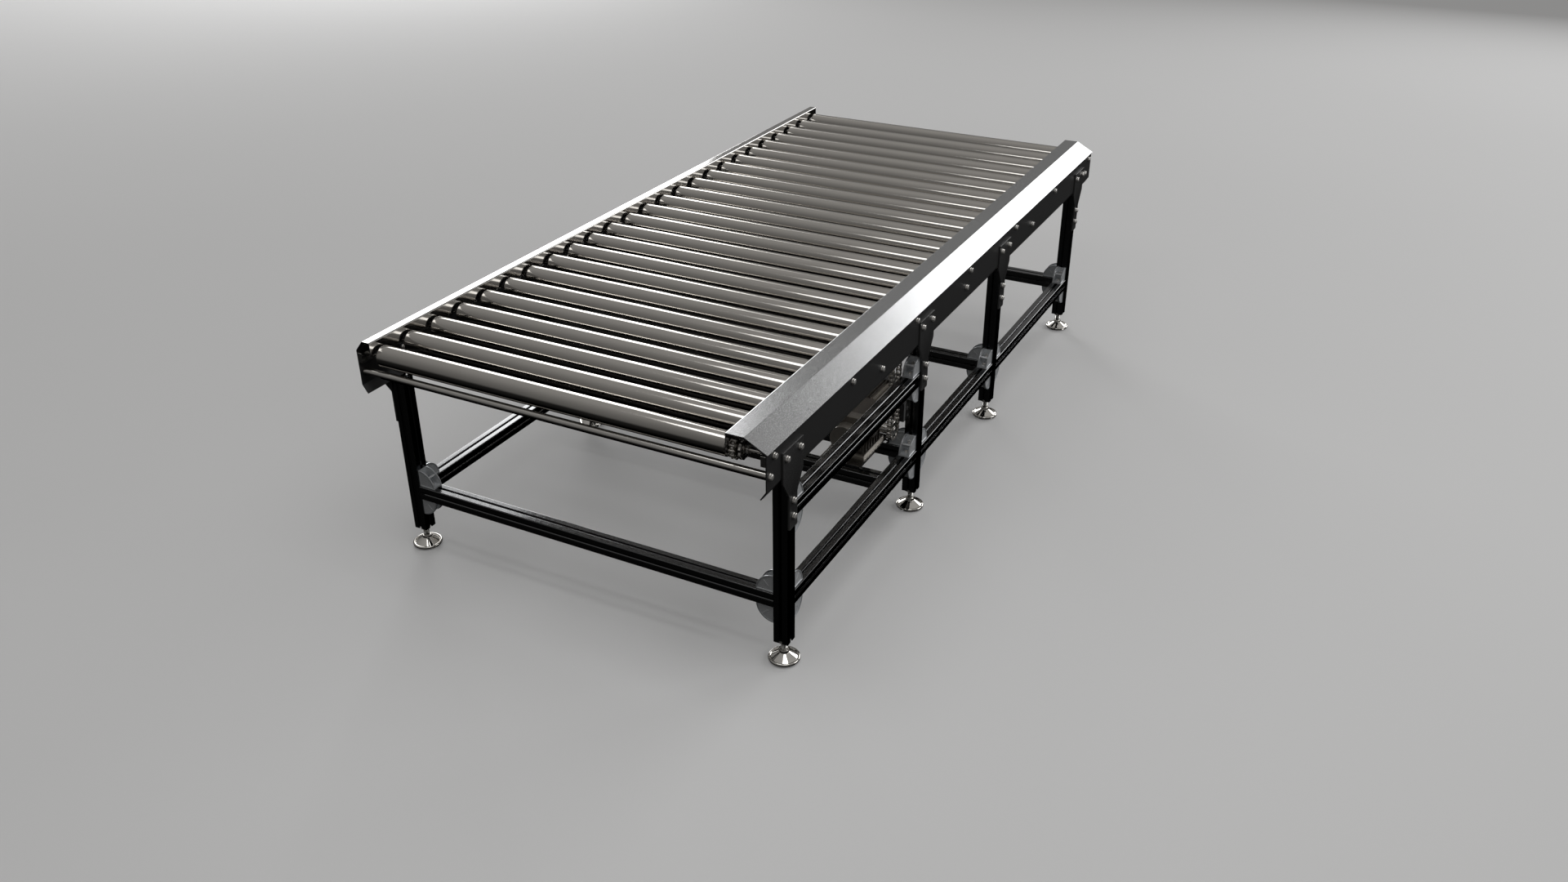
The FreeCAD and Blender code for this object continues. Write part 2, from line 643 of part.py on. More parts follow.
def write_motor_housing():
    """Barrel with fins, two end shields and the pad that the terminal box stands on."""
    barrel = motor_cylinder(MOTOR_R, MOTOR_START, MOTOR_LENGTH)
    barrel = barrel.cut(motor_cylinder(MOTOR_R - MOTOR_WALL, MOTOR_START, MOTOR_LENGTH))
    root = MOTOR_R - MOTOR_WALL / 2
    fins = around_motor(block(FIN_X, (root, FIN_R), (-FIN_T / 2, FIN_T / 2)), FIN_COUNT)
    half = TERMINAL_BOX_HALF - TERMINAL_PAD_INSET
    pad = block((TERMINAL_BOX_X[0] + TERMINAL_PAD_INSET, TERMINAL_BOX_X[1] - TERMINAL_PAD_INSET),
                (MOTOR_Y - FIN_R - TERMINAL_PAD_INSET, MOTOR_Y), (MOTOR_Z - half, MOTOR_Z + half))
    pad = pad.cut(motor_cylinder(root, MOTOR_START, MOTOR_LENGTH))
    bore = motor_cylinder(ROTOR_R + RUNNING_GAP, MOTOR_START, MOTOR_LENGTH)
    shields = []
    for x in (MOTOR_START, MOTOR_START + MOTOR_LENGTH - END_SHIELD_T):
        shields.append(motor_cylinder(END_SHIELD_R, x, END_SHIELD_T).cut(bore))
    write("motor_housing", [fuse([barrel, pad] + fins + shields)])


def write_fan_cowl():
    start = MOTOR_START + MOTOR_LENGTH - COWL_OVERLAP
    shell = motor_cylinder(FIN_R, start, COWL_LENGTH)
    shell = shell.cut(motor_cylinder(FIN_R - COWL_SHEET, start, COWL_LENGTH))
    lid_x = start + COWL_LENGTH - COWL_SHEET
    grid = (-2, -1, 0, 1, 2)
    vents = [V(lid_x, MOTOR_Y + VENT_PITCH * j, MOTOR_Z + VENT_PITCH * k)
             for j in grid for k in grid if abs(j * k) < 4]
    lid = drill(motor_cylinder(FIN_R, lid_x, COWL_SHEET), vents, VENT_R, X_AXIS, COWL_SHEET)
    write("fan_cowl", [fuse([shell, lid])])


def write_rotor():
    """Shaft, core and cooling fan, which turn as one."""
    before, after = ROTOR_OVERHANG
    shaft = motor_cylinder(ROTOR_R, MOTOR_START - before, MOTOR_LENGTH + before + after)
    core = motor_cylinder(CORE_R, MOTOR_START + CORE_INSET, MOTOR_LENGTH - 2 * CORE_INSET)
    fan_x = MOTOR_START + MOTOR_LENGTH + FAN_CLEAR
    hub = motor_cylinder(FAN_HUB_R, fan_x, FAN_LENGTH)
    reach = (ROTOR_R, FIN_R - COWL_SHEET - FAN_CLEAR)
    blade = block((fan_x, fan_x + FAN_LENGTH), reach, (-BLADE_T / 2, BLADE_T / 2))
    write("motor_rotor", [fuse([shaft, core, hub] + around_motor(blade, FAN_BLADES))])


def write_terminal_box():
    foot_y = MOTOR_Y - FIN_R - TERMINAL_PAD_INSET
    y = (foot_y - TERMINAL_BOX_DEPTH, foot_y)
    box = block(TERMINAL_BOX_X, y, (MOTOR_Z - TERMINAL_BOX_HALF, MOTOR_Z + TERMINAL_BOX_HALF))
    gland = cylinder(GLAND_R, V(TERMINAL_BOX_X[1], (y[0] + y[1]) / 2, MOTOR_Z), X_AXIS, GLAND_LENGTH)
    write("terminal_box", [fuse([box, gland])])


def write_output_shaft():
    """Gearbox shaft, and the sprocket on its boss."""
    row = ROW_Y[2]
    end = row - SHAFT_PAST_ROW
    shaft = cylinder(SHAFT_R, V(SHAFT_X, end, SHAFT_Z), Y_AXIS, GEARBOX_Y[1] - end)
    boss = cylinder(HUB_R, V(SHAFT_X, row - HUB_PAST_ROW, SHAFT_Z), Y_AXIS, SPROCKET_BOSS_LENGTH)
    wheel = fuse([boss, sprocket(V(SHAFT_X, row, SHAFT_Z))]).cut(shaft)
    write("drive_sprocket", [shaft, wheel])


write_rollers()
write_axles()
write_axle_bars()
write_chains()
write_rails()
write_tie_bars()
write_profiles()
write_brackets()
write_gussets()
write_feet()
write_base_plate()
write_gearbox()
write_motor_housing()
write_fan_cowl()
write_rotor()
write_terminal_box()
write_output_shaft()
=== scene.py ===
"""Looks of the chain-driven roller conveyor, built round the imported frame, in metres.

+X runs along the bed, +Y points to the idle side, -Y is the drive side, +Z is up.
"""
import bmesh
import bpy
import math
from mathutils import Matrix, Vector


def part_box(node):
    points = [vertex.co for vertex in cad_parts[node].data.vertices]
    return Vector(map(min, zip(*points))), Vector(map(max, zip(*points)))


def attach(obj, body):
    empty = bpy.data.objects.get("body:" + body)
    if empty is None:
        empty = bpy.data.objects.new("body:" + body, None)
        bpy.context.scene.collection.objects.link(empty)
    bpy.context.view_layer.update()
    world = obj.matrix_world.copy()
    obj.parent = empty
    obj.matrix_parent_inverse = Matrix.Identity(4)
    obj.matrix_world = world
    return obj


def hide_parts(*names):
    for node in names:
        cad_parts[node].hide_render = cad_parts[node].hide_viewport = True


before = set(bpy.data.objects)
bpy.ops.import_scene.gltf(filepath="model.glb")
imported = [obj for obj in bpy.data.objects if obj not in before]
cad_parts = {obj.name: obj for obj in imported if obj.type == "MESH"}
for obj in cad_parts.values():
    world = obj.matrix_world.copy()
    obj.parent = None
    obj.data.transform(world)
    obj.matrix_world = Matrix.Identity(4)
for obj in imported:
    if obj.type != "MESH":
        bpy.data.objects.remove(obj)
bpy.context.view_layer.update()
X, Y, Z = Vector((1, 0, 0)), Vector((0, 1, 0)), Vector((0, 0, 1))

# ------------------------------------------------------------------ driving sizes, as in the CAD
CHAIN_PITCH = 0.0127
TEETH = 12
LINKS_APART = 8
DRIVE_LINKS_APART = 27
ROLLER_COUNT = 25
ROLLER_PITCH = LINKS_APART * CHAIN_PITCH
BED_HALF = 1.254
FIRST_ROLLER_X = -12 * ROLLER_PITCH
ROLLER_X = [FIRST_ROLLER_X + i * ROLLER_PITCH for i in range(ROLLER_COUNT)]
BOLTED_X = ROLLER_X[::4]  # rollers whose axles are bolted through the webs
AXIS_Z = 0.620
ROLLER_R = 0.0286
TUBE_Y = (-0.472, 0.525)
HUB_R = 0.015
AXLE_R = 0.006
PITCH_R = CHAIN_PITCH / (2 * math.sin(math.pi / TEETH))
ROW_Y = (-0.490, -0.508, -0.526)  # chain rows: two between rollers, one to the gearmotor
DRIVEN_ROLLER = 8  # index of the roller that the gearmotor's chain turns
SHAFT_X = ROLLER_X[DRIVEN_ROLLER]
SHAFT_Z = AXIS_Z - DRIVE_LINKS_APART * CHAIN_PITCH

# Folded sheets, as (distance from the middle, height) of their fold lines
WEB_Y = 0.581
SHEET = 0.003
WEB_BOTTOM_Z = 0.5425
LIP_END = (0.566, 0.5196)
IDLE_WALL = (0.5336, 0.633)
IDLE_EDGE = (0.5579, 0.6669)
IDLE_SHOULDER_Z = 0.639
GUARD_SHEET = 0.002
GUARD_EDGE = (0.5842, 0.6369)
GUARD_RIDGE = (0.5265, 0.6678)
GUARD_WALL = (0.4787, 0.616)
RAIL_FLANGE_Y = 0.545
ARCH_R = 0.018

AXLE_BAR_T = 0.012
AXLE_BAR_Z = (0.605, 0.632)
TIE_R = 0.010
TIE_Z = 0.577
TIE_X = [-1.2395 + 0.606 * k for k in range(5)]

# Stand
PROFILE = 0.040
LEG_X = [-1.1355, -0.337, 0.304, 1.1045]
LEG_Y = WEB_Y - PROFILE / 2
LEG_Z = (0.0584, 0.519)
LOWER_Z = 0.179
UPPER_Z = 0.425
MOTOR_CROSS_X = -0.526
PLATE_T = 0.005
WEB_BOLT = (0.033, 0.587)  # distance from the leg's middle, height
LEG_BOLTS = (0.463, 0.421)  # heights

# Fasteners
WASHER_T = 0.0016
M8_FLATS = 0.013
M8_HEAD_H = 0.0053
M8_NUT_H = 0.0065
M8_NUT_BORE = 0.004

SPROCKET_T = 0.007
END_CHAMFER = 0.0003
FACETS = 64


# ------------------------------------------------------------------ node helpers for materials
def new_material(name):
    material = bpy.data.materials.new(name)
    material.use_nodes = True
    tree = material.node_tree
    return material, tree, tree.nodes["Principled BSDF"]


def noise(tree, scale, stretch=(1, 1, 1), detail=3.0):
    """Noise over the object's own coordinates, stretched along its axes."""
    coords = tree.nodes.new("ShaderNodeTexCoord")
    mapping = tree.nodes.new("ShaderNodeMapping")
    mapping.inputs["Scale"].default_value = stretch
    texture = tree.nodes.new("ShaderNodeTexNoise")
    texture.inputs["Scale"].default_value = scale
    texture.inputs["Detail"].default_value = detail
    tree.links.new(coords.outputs["Object"], mapping.inputs["Vector"])
    tree.links.new(mapping.outputs["Vector"], texture.inputs["Vector"])
    return texture.outputs["Fac"]


def spread(tree, value, low, high, at=(0.3, 0.7)):
    """Maps a 0 to 1 pattern onto low to high."""
    ramp = tree.nodes.new("ShaderNodeMapRange")
    ramp.inputs["From Min"].default_value = at[0]
    ramp.inputs["From Max"].default_value = at[1]
    ramp.inputs["To Min"].default_value = low
    ramp.inputs["To Max"].default_value = high
    tree.links.new(value, ramp.inputs["Value"])
    return ramp.outputs["Result"]


def tint(tree, value, first, second):
    """Mixes two colours by a pattern."""
    mix = tree.nodes.new("ShaderNodeMix")
    mix.data_type = "RGBA"
    mix.inputs["A"].default_value = (*first, 1)
    mix.inputs["B"].default_value = (*second, 1)
    tree.links.new(value, mix.inputs["Factor"])
    return mix.outputs["Result"]


def bump(tree, shader, height, depth):
    """Fine relief from a pattern, depth metres deep."""
    node = tree.nodes.new("ShaderNodeBump")
    node.inputs["Distance"].default_value = depth
    node.inputs["Strength"].default_value = 1.0
    tree.links.new(height, node.inputs["Height"])
    tree.links.new(node.outputs["Normal"], shader.inputs["Normal"])


def painted_edge_highlight(tree, base, highlight_colour, at=(0.52, 0.60)):
    """Paints the given colour where the surface is sharply convex, as a painted highlight along the
    edges.
    """
    geometry = tree.nodes.new("ShaderNodeNewGeometry")
    mask = spread(tree, geometry.outputs["Pointiness"], 0.0, 1.0, at)
    mix = tree.nodes.new("ShaderNodeMix")
    mix.data_type = "RGBA"
    mix.inputs["B"].default_value = (*highlight_colour, 1)
    tree.links.new(mask, mix.inputs["Factor"])
    tree.links.new(base, mix.inputs["A"])
    return mix.outputs["Result"]


def surface(name, colours, metallic, roughness, grain=400, stretch=(1, 1, 1), depth=0.0,
            patches=9.0, edge=None, ior=1.5):
    """Procedural finish: patchy tone, grained roughness and bump, and a painted highlight along
    sharply convex edges if asked.
    """
    material, tree, shader = new_material(name)
    fine = noise(tree, grain, stretch)
    broad = noise(tree, patches, detail=5.0)
    colour = tint(tree, broad, *colours)
    if edge:
        # painted highlight: a lighter colour mixed in along sharply convex edges
        colour = painted_edge_highlight(tree, colour, edge)
    tree.links.new(colour, shader.inputs["Base Color"])
    tree.links.new(spread(tree, fine, *roughness), shader.inputs["Roughness"])
    shader.inputs["Metallic"].default_value = metallic
    shader.inputs["IOR"].default_value = ior
    if depth:
        bump(tree, shader, fine, depth)
    return material


# Two tones, metallic, roughness range, then what differs from the defaults; edge is the colour of a
# painted highlight along convex edges
STEEL = surface("polished_steel", ((0.60, 0.575, 0.54), (0.54, 0.52, 0.49)), 1.0, (0.10, 0.13),
                grain=7, stretch=(1, 0.5, 1))
CAP_BLACK = surface("roller_cap_black", ((0.012, 0.012, 0.013), (0.02, 0.02, 0.02)), 0.0,
                    (0.25, 0.4), grain=900, depth=0.00002)
CAP_STEEL = surface("roller_cap_steel", ((0.62, 0.61, 0.59), (0.5, 0.49, 0.47)), 1.0,
                    (0.12, 0.25), grain=300, depth=0.00001)
CHAIN = surface("oiled_chain_steel", ((0.55, 0.51, 0.46), (0.38, 0.35, 0.31)), 1.0,
                (0.2, 0.38), grain=500, depth=0.00003, patches=60.0, edge=(0.75, 0.72, 0.68))
SPROCKET = surface("machined_steel", ((0.62, 0.60, 0.57), (0.46, 0.44, 0.42)), 1.0,
                   (0.18, 0.34), grain=300, depth=0.00002, patches=40.0, edge=(0.65, 0.63, 0.6))
BAR_STEEL = surface("drawn_steel", ((0.74, 0.72, 0.69), (0.62, 0.60, 0.57)), 1.0,
                    (0.12, 0.22), grain=70, stretch=(12, 0.5, 12), depth=0.00001)
ZINC = surface("bright_zinc", ((0.96, 0.94, 0.90), (0.88, 0.86, 0.83)), 0.7, (0.20, 0.32),
               grain=600, depth=0.00002, patches=120.0)
GUARD = surface("grained_sheet", ((0.50, 0.505, 0.51), (0.44, 0.445, 0.45)), 1.0, (0.16, 0.30),
                grain=650, depth=0.00009, patches=5.0)
IDLE_TOP = surface("satin_sheet", ((0.66, 0.655, 0.64), (0.58, 0.57, 0.56)), 1.0, (0.08, 0.14),
                   grain=7, stretch=(0.3, 3, 3), patches=6.0)
RAIL_BLACK = surface("powder_coat_black", ((0.006, 0.0062, 0.0065), (0.010, 0.010, 0.0105)), 0.0,
                     (0.3, 0.5), grain=1100, depth=0.00004, patches=7.0,
                     edge=(0.06, 0.06, 0.06), ior=1.3)
BRACKET_BLACK = surface("bracket_black", ((0.005, 0.0052, 0.0055), (0.009, 0.009, 0.0095)), 0.0,
                        (0.22, 0.4), grain=900, depth=0.00004, patches=20.0,
                        edge=(0.09, 0.09, 0.09), ior=1.35)
PROFILE_BLACK = surface("black_anodised", ((0.14, 0.142, 0.145), (0.18, 0.182, 0.185)), 1.0,
                        (0.14, 0.22), grain=30, stretch=(0.4, 4, 4), patches=12.0)
LEG_BLACK = surface("black_anodised_upright", ((0.09, 0.095, 0.10), (0.13, 0.135, 0.14)), 1.0,
                    (0.14, 0.22), grain=30, stretch=(4, 4, 0.4), patches=12.0)
CAST = surface("die_cast_grey", ((0.34, 0.36, 0.38), (0.26, 0.28, 0.30)), 0.3, (0.22, 0.4),
               grain=700, depth=0.00008, patches=60.0, edge=(0.7, 0.72, 0.74))
CHROME = surface("foot_chrome", ((0.80, 0.78, 0.74), (0.72, 0.70, 0.66)), 1.0, (0.03, 0.09),
                 grain=200, depth=0.000003, patches=30.0)
STEM = surface("foot_stem_steel", ((0.62, 0.61, 0.59), (0.5, 0.5, 0.48)), 1.0, (0.15, 0.3),
               grain=500, depth=0.00001, patches=80.0)
RUBBER = surface("foot_rubber", ((0.012, 0.012, 0.012), (0.022, 0.022, 0.021)), 0.0,
                 (0.6, 0.85), grain=900, depth=0.00008, patches=60.0)
GEARBOX = surface("warm_casting", ((0.17, 0.155, 0.135), (0.11, 0.10, 0.09)), 0.7, (0.28, 0.5),
                  grain=450, depth=0.00015, patches=30.0, edge=(0.45, 0.42, 0.38))
MOTOR = surface("warm_finned_casting", ((0.20, 0.18, 0.155), (0.12, 0.11, 0.095)), 0.8,
                (0.22, 0.4), grain=500, depth=0.0001, patches=40.0, edge=(0.5, 0.46, 0.42))
PLATE = surface("bright_plate", ((0.62, 0.61, 0.59), (0.48, 0.47, 0.45)), 1.0, (0.12, 0.28),
                grain=90, stretch=(0.6, 14, 14), depth=0.00001, patches=20.0)
BOX_BLACK = surface("moulded_black", ((0.012, 0.012, 0.012), (0.02, 0.02, 0.02)), 0.0,
                    (0.35, 0.5), grain=1200, depth=0.00004, patches=40.0,
                    edge=(0.05, 0.05, 0.05))


# ------------------------------------------------------------------ mesh helpers
def aim(origin, direction, side=None):
    """Matrix whose local Z points along direction, and local X along side."""
    z = Vector(direction).normalized()
    if side is None:
        side = X if abs(z.x) < 0.9 else Y  # whichever is not nearly along direction
    x = (Vector(side) - z * z.dot(side)).normalized()
    rotation = Matrix((x, z.cross(x), z)).transposed()
    return Matrix.Translation(origin) @ rotation.to_4x4()


def upright(x, y, facing):
    """Matrix that stands an (x, z) outline at x and y, with its depth along facing times Y."""
    return Matrix(((1, 0, 0, x), (0, 0, facing, y), (0, 1, 0, 0), (0, 0, 0, 1)))


def polar(radius, angle):
    return Vector((radius * math.cos(angle), radius * math.sin(angle)))


def rectangle(x0, y0, x1, y1):
    return [(x0, y0), (x1, y0), (x1, y1), (x0, y1)]


def hexagon(across_flats):
    return [polar(across_flats / math.sqrt(3), math.radians(30 + 60 * k)) for k in range(6)]


def ccw(outline):
    """The outline, turned round if it runs clockwise."""
    area = sum(a[0] * b[1] - b[0] * a[1] for a, b in zip(outline, outline[1:] + outline[:1]))
    return outline if area > 0 else outline[::-1]


def add_lathe(bm, profile, matrix=Matrix(), slot=0, closed=False, facets=FACETS):
    """Turns (radius, height) points about local Z. A closed profile is a ring; an open one
    starts and ends on the axis."""
    rings = []
    for radius, height in profile:
        around = facets if radius > 1e-9 else 1
        points = [polar(radius, 2 * math.pi * k / facets) for k in range(around)]
        rings.append([bm.verts.new(matrix @ Vector((*p, height))) for p in points])
    pairs = list(zip(rings, rings[1:]))
    if closed:
        pairs.append((rings[-1], rings[0]))
    for low, high in pairs:
        for k in range(facets):
            n = (k + 1) % facets
            corners = [low[k % len(low)], low[n % len(low)],
                       high[n % len(high)], high[k % len(high)]]
            face = bm.faces.new(list(dict.fromkeys(corners)))
            face.material_index = slot


def inset_outline(outline, distance):
    """Moves every side of a counter-clockwise outline inwards by distance."""
    sharpest = 0.2  # keeps the mitre short where two sides almost fold back
    result = []
    count = len(outline)
    for i in range(count):
        here = Vector(outline[i])
        before = (here - Vector(outline[i - 1])).normalized()
        after = (Vector(outline[(i + 1) % count]) - here).normalized()
        left_before = Vector((-before.y, before.x))
        left_after = Vector((-after.y, after.x))
        mitre = distance / max(1 + left_before.dot(left_after), sharpest)
        result.append(here + (left_before + left_after) * mitre)
    return result


def corner_curve(before, here, after, radius, steps):
    """Points of a curve round the corner at here, which leaves some of each side straight."""
    longest = 0.45  # of a side
    here = Vector(here)
    back, ahead = Vector(before) - here, Vector(after) - here
    reach = min(radius / math.tan(back.angle(ahead) / 2), back.length * longest,
                ahead.length * longest)
    start = here + back.normalized() * reach
    end = here + ahead.normalized() * reach
    points = []
    for k in range(steps + 1):
        t = k / steps
        points.append(start * (1 - t) ** 2 + here * (2 * t * (1 - t)) + end * t ** 2)
    return points


def rounded(outline, radius, steps=3):
    """Rounds every corner of a closed outline, each by radius or what its sides allow."""
    result = []
    for i, here in enumerate(outline):
        after = outline[(i + 1) % len(outline)]
        result += corner_curve(outline[i - 1], here, after, radius, steps)
    return result


def add_prism(bm, outline, depth, chamfer=0.0, matrix=Matrix(), slot=0):
    """Extrudes a counter-clockwise outline along local Z, with its end edges chamfered."""
    levels = [(outline, 0.0), (outline, depth)]
    if chamfer:
        small = inset_outline(outline, chamfer)
        levels = [(small, 0.0), (outline, chamfer), (outline, depth - chamfer), (small, depth)]
    rings = [[bm.verts.new(matrix @ Vector((p[0], p[1], z))) for p in points]
             for points, z in levels]
    count = len(outline)
    for low, high in zip(rings, rings[1:]):
        for k in range(count):
            n = (k + 1) % count
            face = bm.faces.new((low[k], low[n], high[n], high[k]))
            face.material_index = slot
    for face in (bm.faces.new(rings[0][::-1]), bm.faces.new(rings[-1])):
        face.material_index = slot


def add_box(bm, low, high, chamfer):
    """Box between two corners, with every edge eased."""
    length, width, height = (b - a for a, b in zip(low, high))
    outline = rounded(rectangle(0, 0, length, width), chamfer, 2)
    add_prism(bm, outline, height, chamfer, Matrix.Translation(low))


def make_mesh(name, bm, materials, sharp=38):
    """Mesh from bm, smooth but for edges over sharp degrees; bm is used up."""
    bmesh.ops.recalc_face_normals(bm, faces=bm.faces)
    mesh = bpy.data.meshes.new(name)
    bm.to_mesh(mesh)
    bm.free()
    for material in materials:
        mesh.materials.append(material)
    for polygon in mesh.polygons:
        polygon.use_smooth = True
    mesh.set_sharp_from_angle(angle=math.radians(sharp))
    return mesh


def piece(name, mesh, body, nodes, at=(0, 0, 0)):
    """Places a mesh, rides it on a body and lets it stand for CAD nodes."""
    obj = bpy.data.objects.new(name, mesh)
    obj.location = at
    flatten = obj.modifiers.new("face_weighted_normals", "WEIGHTED_NORMAL")
    flatten.keep_sharp = True
    flatten.weight = 90
    bpy.context.scene.collection.objects.link(obj)
    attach(obj, body)
    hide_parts(*nodes)


# ------------------------------------------------------------------ fasteners
def add_hex_head(bm, flats, height, matrix):
    """Hexagon head with eased corners and a low domed crown."""
    turned = matrix @ Matrix.Rotation(math.radians(30), 4, "Z")
    add_prism(bm, rounded(hexagon(flats), flats * 0.02, 2), height, flats * 0.04, turned)
    crown_r, crown_h, sunk = flats * 0.44, 0.0009, 0.0002
    dome = [(0, -sunk), (crown_r, -sunk)]
    for degrees in (18, 36, 54, 72):
        turn = math.radians(degrees)
        dome.append((crown_r * math.cos(turn), crown_h * math.sin(turn)))
    dome.append((0, crown_h))
    add_lathe(bm, dome, matrix @ Matrix.Translation((0, 0, height)), facets=24)


def add_washer(bm, matrix):
    """M8 washer with eased outer edges."""
    radius, bore, ease = 0.008, 0.0041, 0.0003
    add_lathe(bm, [(bore, 0), (radius - ease, 0), (radius, ease), (radius, WASHER_T - ease),
                   (radius - ease, WASHER_T), (bore, WASHER_T)], matrix, closed=True, facets=32)


def add_shank(bm, matrix, length):
    """M8 threaded shank from local z = 0 down to -length."""
    radius, root, pitch = 0.00395, 0.00335, 0.00125
    profile = [(0, 0), (radius, 0)]
    for k in range(int(length / pitch)):
        profile += [(radius, -pitch * (k + 0.2)), (root, -pitch * (k + 0.6))]
    profile += [(root, -length), (0, -length)]
    add_lathe(bm, profile, matrix, facets=16)


def add_bolt(bm, seat, outward, reach):
    """M8 hexagon bolt and its washer, seated on a face and reaching that far into it."""
    place = aim(seat, outward)
    add_washer(bm, place)
    top = place @ Matrix.Translation((0, 0, WASHER_T))
    add_shank(bm, top, reach + WASHER_T)
    add_hex_head(bm, M8_FLATS, M8_HEAD_H, top)


def add_nut(bm, seat, outward, flats, height, bore):
    """Hexagon nut with a round bore, and corners turned down at both ends."""
    place = aim(seat, outward)
    count = 48
    radius, sixth = flats / 2, math.radians(60)
    bevel, bevel_h = 0.0012, 0.0009
    corner_r = radius * 1.12

    def edge(angle, inset):
        sector = (angle - sixth / 2) % sixth - sixth / 2
        return min((radius - inset) / math.cos(sector), corner_r - inset)

    angles = [2 * math.pi * k / count + sixth / 2 for k in range(count)]
    levels = [(None, 0.0), (bevel, 0.0), (0.0, bevel_h), (0.0, height - bevel_h),
              (bevel, height), (None, height)]
    rings = []
    for inset, z in levels:
        radii = [bore if inset is None else edge(a, inset) for a in angles]
        rings.append([bm.verts.new(place @ Vector((*polar(r, a), z)))
                      for r, a in zip(radii, angles)])
    for low, high in zip(rings, rings[1:] + rings[:1]):
        for k in range(count):
            n = (k + 1) % count
            bm.faces.new((low[k], low[n], high[n], high[k]))


def make_end_bolts():
    """Bolts through the webs into the tapped ends of axles and tie bars."""
    reach = 0.022
    for name, places, z in (("axle_bolts", BOLTED_X, AXIS_Z), ("tie_bar_bolts", TIE_X, TIE_Z)):
        bm = bmesh.new()
        for x in places:
            for side in (-1, 1):
                add_bolt(bm, Vector((x, side * WEB_Y, z)), Y * side, reach)
        piece(name + "_threaded", make_mesh(name, bm, [ZINC]), "frame", [name])


def make_bracket_bolts():
    """For every bracket, two bolts with nuts through the web and two bolts into the leg."""
    web_reach, leg_reach = 0.020, 0.013
    bm = bmesh.new()
    for x in LEG_X:
        for side in (-1, 1):
            seat_y = side * (WEB_Y + PLATE_T)
            nut_y = side * (WEB_Y - SHEET)
            out = Y * side
            for dx in (-WEB_BOLT[0], WEB_BOLT[0]):
                add_bolt(bm, Vector((x + dx, seat_y, WEB_BOLT[1])), out, web_reach)
                add_nut(bm, Vector((x + dx, nut_y, WEB_BOLT[1])), out * -1, M8_FLATS, M8_NUT_H,
                        M8_NUT_BORE)
            for z in LEG_BOLTS:
                add_bolt(bm, Vector((x, seat_y, z)), out, leg_reach)
    piece("bracket_bolts_threaded", make_mesh("bracket_bolts", bm, [ZINC]), "frame",
          ["bracket_bolts"])


# ------------------------------------------------------------------ sprockets and chain
def sprocket_outline(steps=5):
    """Counter-clockwise outline of the toothed wheel, with a gap straight up."""
    seat_r, tip_r = 0.0044, PITCH_R + 0.0026
    seat_sweep, tip_sweep = math.radians(62), 0.045
    points = []
    for k in range(TEETH):
        middle = math.pi / 2 + 2 * math.pi * k / TEETH
        for j in range(-steps, steps + 1):
            turn = middle + math.pi + j * seat_sweep / steps
            points.append(polar(PITCH_R, middle) + polar(seat_r, turn))
        tip = middle + math.pi / TEETH
        points += [polar(tip_r, tip - tip_sweep), polar(tip_r, tip + tip_sweep)]
    return points


def add_sprocket(bm, y, slot, x=0.0, z=0.0):
    """Toothed wheel about the Y axis, with its edges bevelled."""
    place = aim(Vector((x, y + SPROCKET_T / 2, z)), Y * -1, X)
    add_prism(bm, sprocket_outline(), SPROCKET_T, 0.0011, place, slot)


def plate_outline():
    """Figure-of-eight side plate between two pins, one pitch apart along local X."""
    waist, end, sweep, steps = 0.0034, 0.0056, 230, 8
    turns = [math.radians(sweep * (k / steps - 0.5)) for k in range(steps + 1)]
    points = [Vector((CHAIN_PITCH, 0)) + polar(end, turn) for turn in turns]
    points.append(Vector((CHAIN_PITCH / 2, waist)))
    points += [polar(end, math.pi + turn) for turn in turns]
    points.append(Vector((CHAIN_PITCH / 2, -waist)))
    return points


def loop_pins(links):
    """Pin places round two wheels that are links pitches apart along local X."""
    half = TEETH // 2
    turns = [math.pi / 2 - math.pi * k / half for k in range(1, half)]
    upper = [Vector((k * CHAIN_PITCH, PITCH_R)) for k in range(links + 1)]
    far = [Vector((links * CHAIN_PITCH, 0)) + polar(PITCH_R, turn) for turn in turns]
    lower = [Vector((k * CHAIN_PITCH, -PITCH_R)) for k in range(links, -1, -1)]
    near = [polar(PITCH_R, turn - math.pi) for turn in turns]
    return upper + far + lower + near


def add_chain(bm, origin, along, links):
    """Roller chain: pins, rollers, and inner and outer plates in turn."""
    plate, plate_t = plate_outline(), 0.0014
    inner_y, outer_y = 0.0038, 0.0055
    turned = ((0.0018, 0.0077, 10), (0.0041, 0.0037, 14))  # pin and roller: radius, half, facets
    side = along.cross(Y)
    places = [origin + along * pin.x + side * pin.y for pin in loop_pins(links)]
    for index, here in enumerate(places):
        there = places[(index + 1) % len(places)]
        for radius, half, facets in turned:
            add_lathe(bm, [(0, -half), (radius, -half), (radius, half), (0, half)],
                      aim(here, Y), facets=facets)
        near = inner_y if index % 2 else outer_y
        for y in (near, -near - plate_t):
            add_prism(bm, plate, plate_t, END_CHAMFER, aim(here + Y * y, Y, there - here))


def make_chains():
    """Loops from roller to roller in two rows, and the loop down to the gearmotor."""
    bm = bmesh.new()
    for index in range(ROLLER_COUNT - 1):
        add_chain(bm, Vector((ROLLER_X[index], ROW_Y[index % 2], AXIS_Z)), X, LINKS_APART)
    piece("roller_chain_links", make_mesh("roller_chains", bm, [CHAIN]), "frame",
          ["roller_chains"])
    bm = bmesh.new()
    add_chain(bm, Vector((SHAFT_X, ROW_Y[2], SHAFT_Z)), Z, DRIVE_LINKS_APART)
    piece("drive_chain_links", make_mesh("drive_chain", bm, [CHAIN]), "frame", ["drive_chain"])


